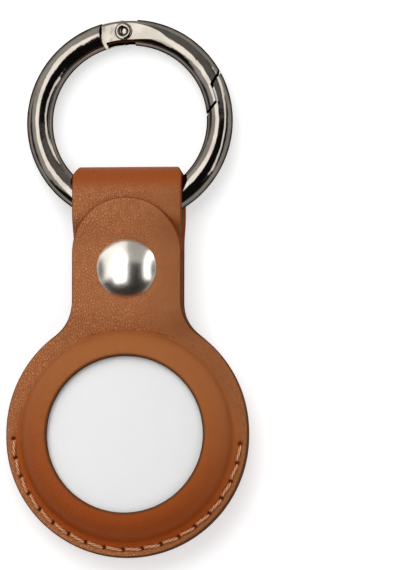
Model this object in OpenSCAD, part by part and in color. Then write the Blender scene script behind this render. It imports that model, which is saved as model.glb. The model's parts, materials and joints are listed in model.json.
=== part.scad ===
// Leather key holder for a round tracker tag.
// It lies on its back: X is the width, +Y runs towards the key ring, +Z is the front.
// The origin is the centre of the pocket, on the plane that the back rests on.

/* [Leather] */
// Thickness of the leather
leather_t = 1.3; // [0.9:0.1:1.8]
// Diameter of the round pocket
pocket_d = 40; // [39.6:0.2:46]
// Diameter of the round window in each panel
window_d = 25.8; // [22:0.5:26]
// Width of the neck, the tongue and the strap
strap_w = 18.1; // [14:0.1:19]
// Radius where the neck flares into the pocket
neck_fillet_r = 6.8; // [5:0.1:9]
// Slope of the moulded wall round the tag, from level
mould_angle = 68; // [55:1:75]
// Radius at the foot of the moulded wall
mould_foot_r = 0.8; // [0.4:0.1:1.2]

/* [Strap] */
// Distance from the pocket's centre to the bend line of the tongue
bend_y = 18.4; // [18.3:0.1:19]
// Distance from the pocket's centre to the snap
snap_y = 27.6; // [27:0.1:29]
// Distance from the pocket's centre to the tongue's round end
tongue_end_y = 39.2; // [38:0.1:40]
// Distance from the pocket's centre to the end of the folded loop
fold_end_y = 44.6; // [44.2:0.1:46]
// Inside height of the loop round the ring
loop_h = 5.2; // [5:0.1:6]
// Distance from the pocket's centre to the end of the folded leg
return_end_y = 22.2; // [21.8:0.1:23]
// Distance from the pocket's centre to the lifting line of the folded leg
return_hinge_y = 31.8; // [31.6:0.1:32.4]
// Gap between the tongue and the folded leg that the snap fills
snap_gap = 1.5; // [1.3:0.1:2]

/* [Key ring] */
// Inside diameter of the key ring
ring_in_d = 25.5; // [24:0.5:25.5]
// Diameter of the ring's round bar
ring_bar_d = 4.3; // [3.8:0.1:4.4]
// Distance from the pocket's centre to the ring's centre
ring_y = 52.2; // [51.4:0.1:52.6]
// Place of the gate's rivet round the ring
rivet_angle = 94; // [90:1:100]
// Diameter of the gate's rivet
rivet_d = 1.6; // [1.2:0.1:2]
// Diameter of the rivet's heads
rivet_head_d = 2.9; // [2.4:0.1:3.2]
// Distance from the rivet to the gate's outer latch step
latch_step_r = 17.25; // [16:0.25:18]
// Distance from the rivet to the tip of the gate's latch
latch_tip_r = 19.55; // [19:0.25:20.5]
// Thickness of the flat tab that the rivet passes through
tab_t = 1; // [0.8:0.1:1.2]

/* [Snap] */
// Diameter of the domed cap
cap_d = 10; // [9:0.5:11]
// Height of the domed cap
cap_h = 2.3; // [1.8:0.1:2.8]
// Diameter of the socket under the tongue
socket_d = 8.6; // [8:0.1:9]
// Diameter of the stud's round head
stud_head_d = 3.4; // [3.2:0.1:3.6]
// Diameter of the stud's flange
stud_flange_d = 7.6; // [7:0.1:8]

/* [Tag] */
// Diameter of the round tag
tag_d = 31.9; // [30:0.1:32]
// Thickness of the tag at its middle
tag_t = 8; // [7.6:0.1:8.4]
// How far each face of the tag falls from its middle to its shoulder
tag_dome = 0.3; // [0.1:0.1:0.5]
// Radius of the tag's shoulder
tag_edge_r = 2.4; // [2:0.1:3]
// Diameter of the tag's metal back cover
cover_d = 26; // [25:0.2:26.2]
// Diameter of the coin cell
battery_d = 20; // [18:0.5:20]
// Thickness of the coin cell
battery_t = 3.2; // [2.5:0.1:3.2]

/* [Stitching] */
// Number of stitches round the lower half of the pocket
stitch_count = 18; // [14:1:18]
// Radius of the row of stitches
stitch_r = 18.75; // [18.6:0.05:19]
// Angle of the first needle hole, on the left
stitch_start = 181; // [178:1:184]
// Angle from one needle hole to the next
stitch_step = 9.7; // [9:0.1:10]
// Diameter of the thread
thread_d = 0.5; // [0.4:0.05:0.6]
// Diameter of a needle hole
needle_d = 1; // [0.9:0.05:1.1]

/* [Hidden] */
$fn = 96;

leather_color = "#A5602F";
return_color = "#94542A";
thread_color = "#D2955A";
steel_color = "#C3C0BA";
ring_color = "#4D4C4F";
white_color = "#E8E8E8";

over = 1;          // how far every cut runs past what it cuts
fit = 0.05;        // clearance of a close fit, each side
slack = 0.2;       // clearance between layers of leather
arc_steps = 8;     // chords in a moulded bend
bend_steps = 12;   // chords in a long bend of a strip

pocket_r = pocket_d / 2;
window_r = window_d / 2;
tag_r = tag_d / 2;
half_w = strap_w / 2;

// The moulded wall, in (radius, height above the seam plane)
shoulder_z = tag_t / 2 - tag_dome;            // height of the tag's shoulder
bend_r = tag_r - tag_edge_r;                  // radius of the centre of the moulded bend
bend_z = shoulder_z - tag_edge_r;             // height of that centre
wall_in_r = tag_edge_r + fit;                 // inner radius of the moulded bend
wall_out_r = wall_in_r + leather_t;           // outer radius of the moulded bend
foot_z = leather_t + mould_foot_r;            // height of the centre of the foot's bend
foot_in_r = mould_foot_r + leather_t;
foot_r = bend_r + (wall_out_r + mould_foot_r - (foot_z - bend_z) * cos(mould_angle)) / sin(mould_angle);
seam_z = bend_z + wall_out_r;                 // height of the seam plane over the rest

// Heights of the layers at the neck, bottom and middle of each leather
rim_low = seam_z - leather_t;
stack_half = (3 * leather_t + slack + snap_gap) / 2;
back_z = seam_z - stack_half;                 // underside of the strap's back leg
return_z = back_z + leather_t + slack;        // underside of the folded leg
tongue_z = return_z + leather_t + snap_gap;   // underside of the tongue
half_t = leather_t / 2;
neck_ramp = 3.4;                              // length over which a layer leaves the seam plane
ramp_lead = 0.2;                              // level length before a ramp starts

// The loop round the ring
loop_out = loop_h / 2 + leather_t;            // outer radius of the fold
loop_mid = loop_h / 2 + half_t;               // radius of the fold's middle
floor_gap = 0.2;                              // between the loop and what the holder lies on
loop_z = loop_out + floor_gap;                // height of the loop's middle
loop_y = fold_end_y - loop_out;               // centre of the fold
loop_start_y = 31.6;                          // where the loop begins to open
loop_full_y = 36.6;                           // where it has its full height
tongue_rise_y = 32.3;                         // where the tongue starts to climb over the loop
tongue_top_y = 36.5;                          // where it has climbed
tongue_high = loop_z + loop_out + slack;      // underside of the tongue over the loop

// The key ring, which leans until its far side lies on the rest plane
bar_r = ring_bar_d / 2;
ring_r = ring_in_d / 2 + bar_r;
swing_y = 38.8;                               // axis on which the ring swings in the loop
ring_lean = asin((loop_z - bar_r - fit) / (ring_y + ring_r - swing_y));
latch_gap = 0.45;                             // width of the slit round the gate's latch
gate_end_angle = 106.7;                       // the gate's short end beyond the rivet
gate_end_r = 3.8;                             // how far that end reaches from the rivet
tab_root_angle = 112;                         // where the tab joins the ring's body
gate_flat_z = 1.65;                           // height of the gate's flats at the rivet
gate_flat_len = 7;                            // how far from the rivet the flats run out
tab_r = 1.9;                                  // the tab's round end, about the rivet
tab_low = -1.1;                               // underside of the tab from the ring's plane
spring_wire_r = 0.15;
spring_coil_r = 1.25;
spring_turns = 2.25;
spring_turn_steps = 14;
spring_sides = 6;
fork_z = 1.15;                                // half the width of the gate's fork
fork_r = 2.3;
fork_lead_angle = 8;                          // how far the slot runs past the rivet, round the ring
rivet_head_h = 0.35;
rivet_rim_share = 0.72;                       // radii of the head's rim and dimple, as shares of its own
rivet_dimple_share = 0.42;
rivet_at = [ring_r * cos(rivet_angle), ring_r * sin(rivet_angle)];

// The pocket's outline
fillet_x = half_w + neck_fillet_r;
fillet_y = sqrt(pow(pocket_r + neck_fillet_r, 2) - pow(fillet_x, 2));
long_y = fold_end_y + pocket_r;               // longer than any piece of leather

// The seam
thread_sides = 6;
thread_dip_z = leather_t - thread_d / 2;      // how high the thread dips at a hole, over the seam
thread_leg_d = thread_d - fit * 2;            // its thickness inside a hole, where it is pulled tight

// The snap
cap_rim_h = 0.45;
cap_wall = 0.4;
stem_r = 1.35;
socket_sunk = 0.5;                            // how far the socket sits in the tongue
stud_sunk = 0.25;                             // how far the stud's flange sits in the folded leg
stud_flange_t = 0.45;
post_flange_t = 0.4;
post_r = 1.2;
stud_neck_r = 1.15;
stud_head_h = 0.5;
stud_h = 1.3;
socket_low = return_z + leather_t - stud_sunk + stud_flange_t + slack / 2;
socket_top = tongue_z + socket_sunk;
socket_bore_r = stud_head_d / 2 + slack + fit;
snap_wire_r = 0.2;
snap_wire_len = 5.2;
snap_chamber_r = 3.2;
snap_chamber_low = 0.2;
snap_chamber_h = snap_wire_r * 2 + fit * 2;

// The tag's inside, in heights from the tag's middle
shell_t = 1;
cover_r = cover_d / 2;
cover_t = 0.4;
cover_skirt = 0.9;
battery_room = 0.6;                           // beside the coin cell, for its contacts
liner_t = 0.8;
liner_r = battery_d / 2 + battery_room + liner_t;
liner_h = 1.7;
lug_reach = 0.7;                              // how far a lug stands out from the liner
lug_r = liner_r + lug_reach;
lug_h = 0.5;
lug_angle = 24;
notch_angle = 26;                             // width of the ledge's notches for the lugs
lug_count = 3;
cover_turn = 25;                              // how far the cover turns to come off
frame_floor = 0.5;
ledge_in_r = liner_r + fit * 2;
board_t = 0.6;
board_r = 13;
board_hole_r = 5.4;
magnet_r = 4.2;
magnet_h = 1.5;
coil_in_r = 4.5;
coil_out_r = 5.1;
coil_h = 1.2;
battery_crimp = 0.6;                          // size of the step round the coin cell's rim
contact_w = 2.2;
contact_t = 0.2;
contact_len = 5.5;

// A step that leaves and arrives level, from 0 to 1
function ease(u) = (1 - cos(180 * u)) / 2;

// Points on a bend about c, with the angle taken from straight up
function bend(c, r, from, to) =
    [for (i = [0 : arc_steps]) let (a = from + (to - from) * i / arc_steps)
        [c[0] + r * sin(a), c[1] + r * cos(a)]];

// A level-to-level ramp of a strip, from one (y, z) to another
function ramp(from, to) =
    [for (i = [0 : bend_steps]) let (u = i / bend_steps)
        [from[0] + (to[0] - from[0]) * u, from[1] + (to[1] - from[1]) * ease(u)]];

function unit(v) = v / norm(v);
function last(list) = len(list) - 1;

// Direction along a path at point i, taken from the points beside it
function heading(path, i) = unit(path[min(i + 1, last(path))] - path[max(i - 1, 0)]);

// The outline of a strip of thickness t whose middle runs along a path
function strip_outline(path, t) = concat(
    [for (i = [0 : last(path)]) let (h = heading(path, i)) path[i] + [-h[1], h[0]] * t / 2],
    [for (i = [last(path) : -1 : 0]) let (h = heading(path, i)) path[i] - [-h[1], h[0]] * t / 2]);

// A round wire swept along points in space, with rings square to the path
function cross_x(h) = unit(cross(h, abs(h[2]) < 0.9 ? [0, 0, 1] : [1, 0, 0]));
module wire(path, r, sides) {
    rings = [for (i = [0 : last(path)])
        let (h = heading(path, i), u = cross_x(h), v = cross(h, u))
        for (k = [0 : sides - 1])
            path[i] + r * (cos(360 * k / sides) * u + sin(360 * k / sides) * v)];
    walls = [for (i = [0 : last(path) - 1], k = [0 : sides - 1], half = [0, 1])
        let (a = i * sides + k, b = i * sides + (k + 1) % sides, c = a + sides, d = b + sides)
        half == 0 ? [a, c, b] : [b, c, d]];
    ends = [[for (k = [0 : sides - 1]) k],
            [for (k = [sides - 1 : -1 : 0]) last(path) * sides + k]];
    polyhedron(points = rings, faces = concat(walls, ends));
}

// A flat shape in (y, z) carried across the holder's width
module across(w) {
    translate([-w / 2, 0, 0]) rotate([90, 0, 90]) linear_extrude(w) children();
}

// The keyhole outline that both panels share
module keyhole() {
    circle(r = pocket_r);
    difference() {
        polygon([[0, 0], [fillet_x, fillet_y], [-fillet_x, fillet_y]]);
        for (side = [-1, 1]) translate([side * fillet_x, fillet_y]) circle(r = neck_fillet_r);
    }
    translate([-half_w, 0]) square([strap_w, long_y]);
}

// What lies nearer the pocket than y, and what lies beyond it
module before(y) {
    translate([-pocket_d, -pocket_d]) square([pocket_d * 2, pocket_d + y]);
}
module beyond(y) {
    translate([-pocket_d, y]) square([pocket_d * 2, long_y]);
}

// The moulded cup of one panel, over the seam plane
module moulded_cup() {
    rotate_extrude() polygon(concat(
        [[window_r, bend_z + wall_out_r]],
        bend([bend_r, bend_z], wall_out_r, 0, mould_angle),
        bend([foot_r, foot_z], -mould_foot_r, mould_angle, 0),
        bend([foot_r, foot_z], -foot_in_r, 0, mould_angle),
        bend([bend_r, bend_z], wall_in_r, mould_angle, 0),
        [[window_r, bend_z + wall_in_r]]));
}

module needle_holes() {
    for (i = [0 : stitch_count]) rotate([0, 0, stitch_start + stitch_step * i])
        translate([stitch_r, 0, -over]) cylinder(d = needle_d, h = leather_t + over * 2);
}

// The disc of one panel: cup, flat rim and needle holes, over the seam plane
module panel_disc() {
    difference() {
        union() {
            moulded_cup();
            linear_extrude(leather_t) difference() {
                intersection() { keyhole(); before(bend_y); }
                circle(r = foot_r);
            }
        }
        needle_holes();
    }
}

// A strip of leather along a (y, z) path, with the plan outline given as a child
module strip(path) {
    intersection() {
        across(pocket_d) polygon(strip_outline(path, leather_t));
        translate([0, 0, -over]) linear_extrude(pocket_r) children();
    }
}

module back_panel() {
    low = rim_low + half_t;
    flat = back_z + half_t;
    color(leather_color) union() {
        translate([0, 0, seam_z]) mirror([0, 0, 1]) panel_disc();
        strip(concat([[bend_y, low]], ramp([bend_y + ramp_lead, low], [bend_y + neck_ramp, flat]),
                     [[loop_start_y, flat]]))
            intersection() { keyhole(); beyond(bend_y); }
    }
}

module strap_loop() {
    back = back_z + half_t;
    top = return_z + half_t;
    fold = [for (i = [0 : bend_steps]) let (a = 180 * i / bend_steps)
        [loop_y + loop_mid * sin(a), loop_z - loop_mid * cos(a)]];
    path = concat([[loop_start_y, back]],
                  ramp([loop_start_y + ramp_lead, back], [loop_full_y, loop_z - loop_mid]), fold,
                  ramp([loop_full_y, loop_z + loop_mid], [return_hinge_y + ramp_lead, top]),
                  [[return_hinge_y, top]]);
    color(leather_color) across(strap_w) polygon(strip_outline(path, leather_t));
}

module front_panel() {
    color(leather_color) translate([0, 0, seam_z]) panel_disc();
}

module tongue_plan() {
    end_y = tongue_end_y - half_w;
    intersection() {
        union() {
            intersection() { keyhole(); before(end_y); }
            translate([0, end_y]) circle(r = half_w);
        }
        beyond(bend_y);
    }
}

module front_tongue() {
    low = seam_z + half_t;
    flat = tongue_z + half_t;
    high = tongue_high + half_t;
    path = concat([[bend_y, low]], ramp([bend_y + ramp_lead, low], [bend_y + neck_ramp, flat]),
                  ramp([tongue_rise_y, flat], [tongue_top_y, high]),
                  [[tongue_end_y + over, high]]);
    color(leather_color) difference() {
        strip(path) tongue_plan();
        translate([0, snap_y, tongue_z - over]) cylinder(d = socket_d, h = socket_sunk + over);
        translate([0, snap_y, tongue_z]) cylinder(r = stem_r, h = leather_t + over);
    }
}

module strap_return() {
    end_y = return_end_y + half_w;
    color(return_color) difference() {
        translate([0, 0, return_z]) linear_extrude(leather_t) intersection() {
            before(return_hinge_y);
            union() {
                translate([0, end_y]) circle(r = half_w);
                translate([-half_w, end_y]) square([strap_w, strap_w]);
            }
        }
        translate([0, snap_y, return_z - over]) cylinder(r = post_r, h = leather_t + over * 2);
        translate([0, snap_y, return_z - over])
            cylinder(d = stud_flange_d, h = post_flange_t + over);
        translate([0, snap_y, return_z + leather_t - stud_sunk])
            cylinder(d = stud_flange_d, h = stud_sunk + over);
    }
}

module snap_cap() {
    r = cap_d / 2;
    dome_h = cap_h - cap_rim_h;
    dome_r = (r * r + dome_h * dome_h) / (2 * dome_h);
    a = asin(r / dome_r);
    in_a = asin((r - cap_wall) / dome_r);
    centre = [0, cap_h - dome_r];
    color(steel_color) translate([0, snap_y, tongue_z + leather_t]) union() {
        rotate_extrude() polygon(concat(
            bend(centre, dome_r, 0, a), [[r, 0], [r - cap_wall, 0]],
            bend(centre - [0, cap_wall], dome_r, in_a, 0)));
        translate([0, 0, socket_top - tongue_z - leather_t - cap_wall])
            cylinder(r = stem_r, h = leather_t + tongue_z - socket_top + cap_h);
    }
}

module snap_socket() {
    h = socket_top - socket_low;
    color(steel_color) translate([0, snap_y, socket_low]) difference() {
        cylinder(d = socket_d, h = h);
        translate([0, 0, -over]) cylinder(r = socket_bore_r, h = h - cap_wall + over);
        translate([0, 0, snap_chamber_low]) cylinder(r = snap_chamber_r, h = snap_chamber_h);
        translate([0, 0, -over]) cylinder(r = stem_r, h = h + over * 2);
    }
}

module snap_spring() {
    x = stud_neck_r + fit + snap_wire_r;
    color("gainsboro") translate([0, snap_y, socket_low + snap_chamber_low + snap_wire_r + fit])
        for (side = [-1, 1]) translate([side * x, snap_wire_len / 2, 0])
            rotate([90, 0, 0]) cylinder(r = snap_wire_r, h = snap_wire_len);
}

module snap_stud() {
    r = stud_head_d / 2;
    z = return_z + leather_t - stud_sunk;
    neck_h = stud_h - stud_head_h;
    color(steel_color) translate([0, snap_y, z]) difference() {
        rotate_extrude() polygon(concat(
            [[0, 0], [stud_flange_d / 2, 0], [stud_flange_d / 2, stud_flange_t / 2],
             [r, stud_flange_t], [stud_neck_r, stud_flange_t],
             [stud_neck_r, stud_flange_t + neck_h - fit],
             [r, stud_flange_t + neck_h + fit]],
            bend([r - stud_head_h / 2, stud_flange_t + stud_h - stud_head_h / 2],
                 stud_head_h / 2, 90, 0),
            [[0, stud_flange_t + stud_h]]));
        translate([0, 0, -over]) cylinder(r = post_r - fit * 3, h = over + stud_flange_t);
    }
}

module snap_post() {
    color(steel_color) translate([0, snap_y, return_z]) union() {
        cylinder(d = stud_flange_d, h = post_flange_t);
        cylinder(r = post_r, h = leather_t - stud_sunk);
        cylinder(r = post_r - fit * 3, h = leather_t - stud_sunk + stud_flange_t);
    }
}

// One thread of the seam: over the rim from hole to hole, with a dip into each
module thread_run(side) {
    r = thread_d / 2;
    top = leather_t + r + fit;
    pitch = PI / 180 * stitch_step * stitch_r;
    side_step = r + slack;
    dips = [[-side_step, top], [-side_step / 2, top - slack], [0, thread_dip_z],
            [side_step / 2, top - slack], [side_step, top]];
    path = [for (i = [0 : stitch_count], dip = dips)
                if (!(i == 0 && dip[0] < 0) && !(i == stitch_count && dip[0] > 0))
                    let (a = stitch_start + stitch_step * (i + dip[0] / pitch))
                        [stitch_r * cos(a), stitch_r * sin(a), side * dip[1]]];
    wire(path, r, thread_sides);
}

module seam_thread() {
    color(thread_color) translate([0, 0, seam_z]) {
        thread_run(1);
        thread_run(-1);
        for (i = [0 : stitch_count]) rotate([0, 0, stitch_start + stitch_step * i])
            translate([stitch_r, 0, -thread_dip_z]) cylinder(d = thread_leg_d, h = thread_dip_z * 2);
    }
}

// Puts what is drawn in the ring's own plane, about the ring's centre, in its place
module in_ring() {
    translate([0, swing_y, loop_z]) rotate([-ring_lean, 0, 0])
        translate([0, ring_y - swing_y, 0]) children();
}

// A flat wedge about the ring's centre
module wedge(from, to) {
    reach = ring_r * 3;
    polygon(concat([[0, 0]], [for (i = [0 : bend_steps]) let (a = from + (to - from) * i / bend_steps)
        [reach * cos(a), reach * sin(a)]]));
}

module about_rivet() { translate(rivet_at) children(); }

// The plan of the gate, larger or smaller by grow, so that the slit follows the latch.
// Its faces are arcs about the rivet, which lets the gate swing in past the lip.
module gate_plan(grow) {
    intersection() {
        wedge(-rivet_angle / 4, rivet_angle);
        union() {
            about_rivet() circle(r = latch_step_r + grow);
            intersection() {
                about_rivet() circle(r = latch_tip_r + grow);
                circle(r = ring_r + grow);
            }
        }
    }
}

module ring_bar() { rotate_extrude() translate([ring_r, 0]) circle(r = bar_r); }
module ring_deep() { translate([0, 0, -ring_bar_d]) linear_extrude(ring_bar_d * 2) children(); }

module ring_body() {
    color(ring_color) in_ring() difference() {
        union() {
            difference() {
                ring_bar();
                ring_deep() union() {
                    gate_plan(latch_gap / 2);
                    about_rivet() circle(r = gate_end_r + latch_gap / 2);
                }
            }
            intersection() {
                ring_bar();
                translate([0, 0, tab_low]) linear_extrude(tab_t) union() {
                    about_rivet() circle(r = tab_r);
                    wedge(rivet_angle, tab_root_angle);
                }
            }
        }
        ring_deep() about_rivet() circle(d = rivet_d + fit * 2);
    }
}

module ring_gate() {
    color(ring_color) in_ring() difference() {
        intersection() {
            ring_bar();
            ring_deep() union() {
                gate_plan(-latch_gap / 2);
                intersection() {
                    about_rivet() circle(r = gate_end_r);
                    wedge(rivet_angle / 2, gate_end_angle);
                }
            }
        }
        translate([0, 0, -fork_z - fit]) linear_extrude(fork_z * 2 + fit * 2) union() {
            about_rivet() circle(r = fork_r);
            wedge(rivet_angle - fork_lead_angle, tab_root_angle);
        }
        ring_deep() about_rivet() circle(d = rivet_d + fit * 2);
        for (side = [0, 1]) mirror([0, 0, side]) about_rivet() gate_flat();
    }
}

// What a flat takes off the gate: level about the rivet, then sloping out along the bar.
module gate_flat() {
    head = rivet_head_d / 2;
    rotate([0, 0, rivet_angle - 90]) rotate([90, 0, 0])
        translate([0, 0, -ring_bar_d]) linear_extrude(ring_bar_d * 2)
            polygon([[-gate_end_r - over, gate_flat_z], [head, gate_flat_z],
                [gate_flat_len, bar_r], [gate_flat_len, bar_r + over], [-gate_end_r - over, bar_r + over]]);
}

module gate_rivet() {
    r = rivet_d / 2;
    head = rivet_head_d / 2;
    rim = head * rivet_rim_share;
    dimple = head * rivet_dimple_share;
    low = gate_flat_z + fit;
    color("#6A696C") in_ring() about_rivet() union() {
        translate([0, 0, -low]) cylinder(r = r, h = low * 2);
        for (side = [0, 1]) mirror([0, 0, side]) translate([0, 0, low])
            rotate_extrude() polygon([[0, 0], [head, 0], [head, rivet_head_h / 2],
                [rim, rivet_head_h], [dimple, rivet_head_h],
                [dimple / 2, rivet_head_h / 2], [0, rivet_head_h / 2]]);
    }
}

module gate_spring() {
    steps = round(spring_turn_steps * spring_turns);
    rise = spring_wire_r * 2 + fit;
    z0 = spring_wire_r + fit;
    coil = [for (i = [0 : steps]) let (a = 360 * spring_turns * i / steps + rivet_angle / 2)
        [spring_coil_r * cos(a), spring_coil_r * sin(a), z0 + rise * spring_turns * i / steps]];
    color("gainsboro") in_ring() about_rivet() translate([0, 0, tab_low + tab_t])
        wire(coil, spring_wire_r, spring_sides);
}

// The tag's outer profile above or below its middle, in (radius, height)
function tag_face(r_end) = [for (i = [0 : arc_steps]) let (r = r_end * i / arc_steps)
    [r, tag_t / 2 - tag_dome * pow(r / bend_r, 2)]];
function tag_edge(inset) = bend([bend_r, bend_z], tag_edge_r - inset, 0, 90);
function flip(points) = [for (i = [last(points) : -1 : 0]) [points[i][0], -points[i][1]]];

module in_tag() { translate([0, 0, seam_z]) children(); }

module tag_shell() {
    hole_r = cover_r + fit * 2;
    color(white_color) in_tag() difference() {
        rotate_extrude() difference() {
            polygon(concat(tag_face(bend_r), tag_edge(0), flip(tag_edge(0)),
                           [[0, -shoulder_z]]));
            polygon(concat([[0, shoulder_z - shell_t]],
                           bend([bend_r, bend_z], tag_edge_r - shell_t, 0, 90),
                           flip(bend([bend_r, bend_z], tag_edge_r - shell_t, 0, 90)),
                           [[0, shell_t - shoulder_z]]));
        }
        translate([0, 0, -tag_t]) cylinder(r = hole_r, h = tag_t);
    }
}

// The carrier: a floor with a wall round it, and a ledge that holds the cover's lugs
module tag_frame() {
    low = shell_t - shoulder_z + fit;
    color("#D9D9D9") in_tag() difference() {
        translate([0, 0, low]) cylinder(r = bend_r + fit, h = frame_floor - low);
        translate([0, 0, low - over]) cylinder(r = ledge_in_r, h = over - low);
        translate([0, 0, low + lug_h]) cylinder(r = lug_r + slack, h = -low - lug_h);
        for (i = [0 : lug_count - 1]) rotate([0, 0, i * 360 / lug_count + cover_turn])
            translate([0, 0, low - over]) lug_plan(lug_r + fit * 2, notch_angle, over * 2);
        cylinder(r = board_hole_r, h = frame_floor * 2);
    }
}

// A curved lug about the middle, as wide as an angle
module lug_plan(r, angle, h) {
    linear_extrude(h) intersection() {
        circle(r = r);
        polygon([[0, 0], [2 * r * cos(angle / 2), 2 * r * sin(angle / 2)], [2 * r, 0],
                 [2 * r * cos(angle / 2), -2 * r * sin(angle / 2)]]);
    }
}

module tag_board() {
    color("darkgreen") in_tag() translate([0, 0, frame_floor + fit]) difference() {
        cylinder(r = board_r, h = board_t);
        translate([0, 0, -over]) cylinder(r = board_hole_r, h = board_t + over * 2);
    }
}

module tag_magnet() {
    color("dimgray") in_tag() translate([0, 0, fit]) cylinder(r = magnet_r, h = magnet_h);
}

module tag_voice_coil() {
    top = shoulder_z - shell_t;
    color("peru") in_tag() translate([0, 0, top - coil_h]) difference() {
        cylinder(r = coil_out_r, h = coil_h);
        translate([0, 0, -over]) cylinder(r = coil_in_r, h = coil_h + over * 2);
    }
}

module tag_battery() {
    r = battery_d / 2;
    crimp = battery_crimp;
    color("silver") in_tag() translate([0, 0, -battery_t - fit]) rotate_extrude()
        polygon([[0, 0], [r, 0], [r, battery_t - crimp], [r - crimp, battery_t - crimp / 2],
                 [r - crimp * 3, battery_t - crimp / 2], [r - crimp * 3, battery_t], [0, battery_t]]);
}

module tag_contacts() {
    color("gold") in_tag() for (i = [0 : lug_count - 1])
        rotate([0, 0, i * 360 / lug_count + cover_turn * 2])
            translate([battery_d / 2 + fit, -contact_w / 2, -battery_t / 2])
                cube([contact_t, contact_w, battery_t / 2]);
}

module tag_cover() {
    inner = tag_t / 2 - cover_t;
    color(steel_color) in_tag() rotate_extrude() polygon(concat(
        flip([for (i = [0 : arc_steps]) let (r = cover_r * i / arc_steps)
            [r, tag_t / 2 - tag_dome * pow(r / bend_r, 2)]]),
        [for (i = [0 : arc_steps]) let (r = (cover_r - cover_t) * i / arc_steps)
            [r, -inner + tag_dome * pow(r / bend_r, 2)]],
        [[cover_r - cover_t, cover_skirt - shoulder_z], [cover_r, cover_skirt - shoulder_z]]));
}

module tag_cover_liner() {
    low = cover_t - shoulder_z + fit;
    lug_low = shell_t - shoulder_z + fit + lug_h + fit;
    color("#D9D9D9") in_tag() difference() {
        union() {
            translate([0, 0, low]) cylinder(r = liner_r, h = liner_h);
            intersection() {
                for (i = [0 : lug_count - 1]) rotate([0, 0, i * 360 / lug_count])
                    translate([0, 0, lug_low]) lug_plan(lug_r, lug_angle, lug_h);
                translate([0, 0, low]) cylinder(r = cover_r, h = liner_h);
            }
        }
        translate([0, 0, low - over]) cylinder(r = liner_r - liner_t, h = liner_h + over * 2);
    }
}

back_panel();
strap_loop();
strap_return();
front_panel();
front_tongue();
seam_thread();
snap_cap();
snap_socket();
snap_spring();
snap_stud();
snap_post();
ring_body();
ring_gate();
gate_rivet();
gate_spring();
tag_shell();
tag_frame();
tag_board();
tag_magnet();
tag_voice_coil();
tag_battery();
tag_contacts();
tag_cover();
tag_cover_liner();
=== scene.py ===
# %% [markdown]
# # A leather key holder for a round tag
#
# The holder has a sewn pocket with a round window on each face, a tongue with a snap, a strap that
# is folded round a key ring, and the ring with its sprung gate. The frame gives every hard piece at
# its real size. What is made here is what a drawing of solids can't show well: leather that
# stretches over the tag, painted edges, twisted thread, and metal with its finish.

# %% The frame
import bmesh
import bpy
import json
import numpy as np
from mathutils import Matrix, Vector


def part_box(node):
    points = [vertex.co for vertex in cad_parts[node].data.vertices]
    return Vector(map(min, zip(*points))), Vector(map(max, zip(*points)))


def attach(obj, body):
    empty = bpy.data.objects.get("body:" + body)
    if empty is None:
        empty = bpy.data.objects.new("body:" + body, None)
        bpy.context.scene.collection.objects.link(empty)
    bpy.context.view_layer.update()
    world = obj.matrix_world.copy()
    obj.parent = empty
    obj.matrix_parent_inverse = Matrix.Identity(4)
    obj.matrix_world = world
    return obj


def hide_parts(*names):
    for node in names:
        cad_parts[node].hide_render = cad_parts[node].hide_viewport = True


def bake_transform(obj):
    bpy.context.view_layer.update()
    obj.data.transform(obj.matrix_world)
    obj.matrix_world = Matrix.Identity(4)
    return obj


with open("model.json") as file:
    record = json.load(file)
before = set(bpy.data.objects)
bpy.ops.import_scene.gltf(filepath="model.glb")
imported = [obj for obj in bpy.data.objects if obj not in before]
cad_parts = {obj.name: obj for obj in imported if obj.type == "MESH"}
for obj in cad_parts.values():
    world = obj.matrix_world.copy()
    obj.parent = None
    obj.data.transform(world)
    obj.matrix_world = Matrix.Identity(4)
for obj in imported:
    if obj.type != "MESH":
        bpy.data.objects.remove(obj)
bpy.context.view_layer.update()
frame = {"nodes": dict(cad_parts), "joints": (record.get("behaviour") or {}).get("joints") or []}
MM = 0.001

# %% [markdown]
# Sizes come from the frame. Each leather node's box gives the radius of the pocket, the width of
# the strap and the height of every layer, so the new leather lies where the solids lie. The same
# numbers could be typed in again, but then the two would drift apart. Only what a box can't tell,
# such as a bend's radius, is written down, in the cell that first needs it.


# %% Sizes from the frame, in millimetres
def metres(x, y, z):
    """A point in millimetres, as the metres that the frame's calls take."""
    return (x * MM, y * MM, z * MM)


def node_box(node):
    """Lowest and highest corner of a node, in millimetres."""
    low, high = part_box(node)
    return np.array(low) / MM, np.array(high) / MM


front_low, front_high = node_box("front_panel")
leg_low, leg_high = node_box("strap_return")
loop_low, loop_high = node_box("strap_loop")
cap_low, cap_high = node_box("snap_cap")
tongue_high = node_box("front_tongue")[1]
stud_high = node_box("snap_stud")[1]

LEATHER = leg_high[2] - leg_low[2]
POCKET_R = (front_high[0] - front_low[0]) / 2
HALF_W = (leg_high[0] - leg_low[0]) / 2
SEAM_Z = front_low[2]
CROWN = front_high[2] - SEAM_Z - LEATHER / 2
TONGUE_END = tongue_high[1]
SNAP_Y = (cap_low[1] + cap_high[1]) / 2
CAP_R = (cap_high[0] - cap_low[0]) / 2
TONGUE_Z = stud_high[2] + LEATHER / 2
TONGUE_TIP_Z = tongue_high[2] - LEATHER / 2
LEG_Z = (leg_low[2] + leg_high[2]) / 2
FOLD_END = loop_high[1]
LOOP_Z = (loop_low[2] + loop_high[2]) / 2
FOLD_R = (loop_high[2] - loop_low[2] - LEATHER) / 2
print("pocket", round(2 * POCKET_R, 2), "mm across, leather", round(LEATHER, 2), "mm thick")

# %% [markdown]
# A surface worked out with numpy is a grid of points. One helper turns any such grid into a mesh:
# it joins neighbours into four-sided faces, and round a closed direction the last row meets the
# first. Many equal shapes, such as stitches, go in as one stack of grids. Blender's own operators
# would do, but a whole array at once is faster and gives the same points each time.


# %% From a grid of points to a mesh
SAME_POINT_M = 1e-7


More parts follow.
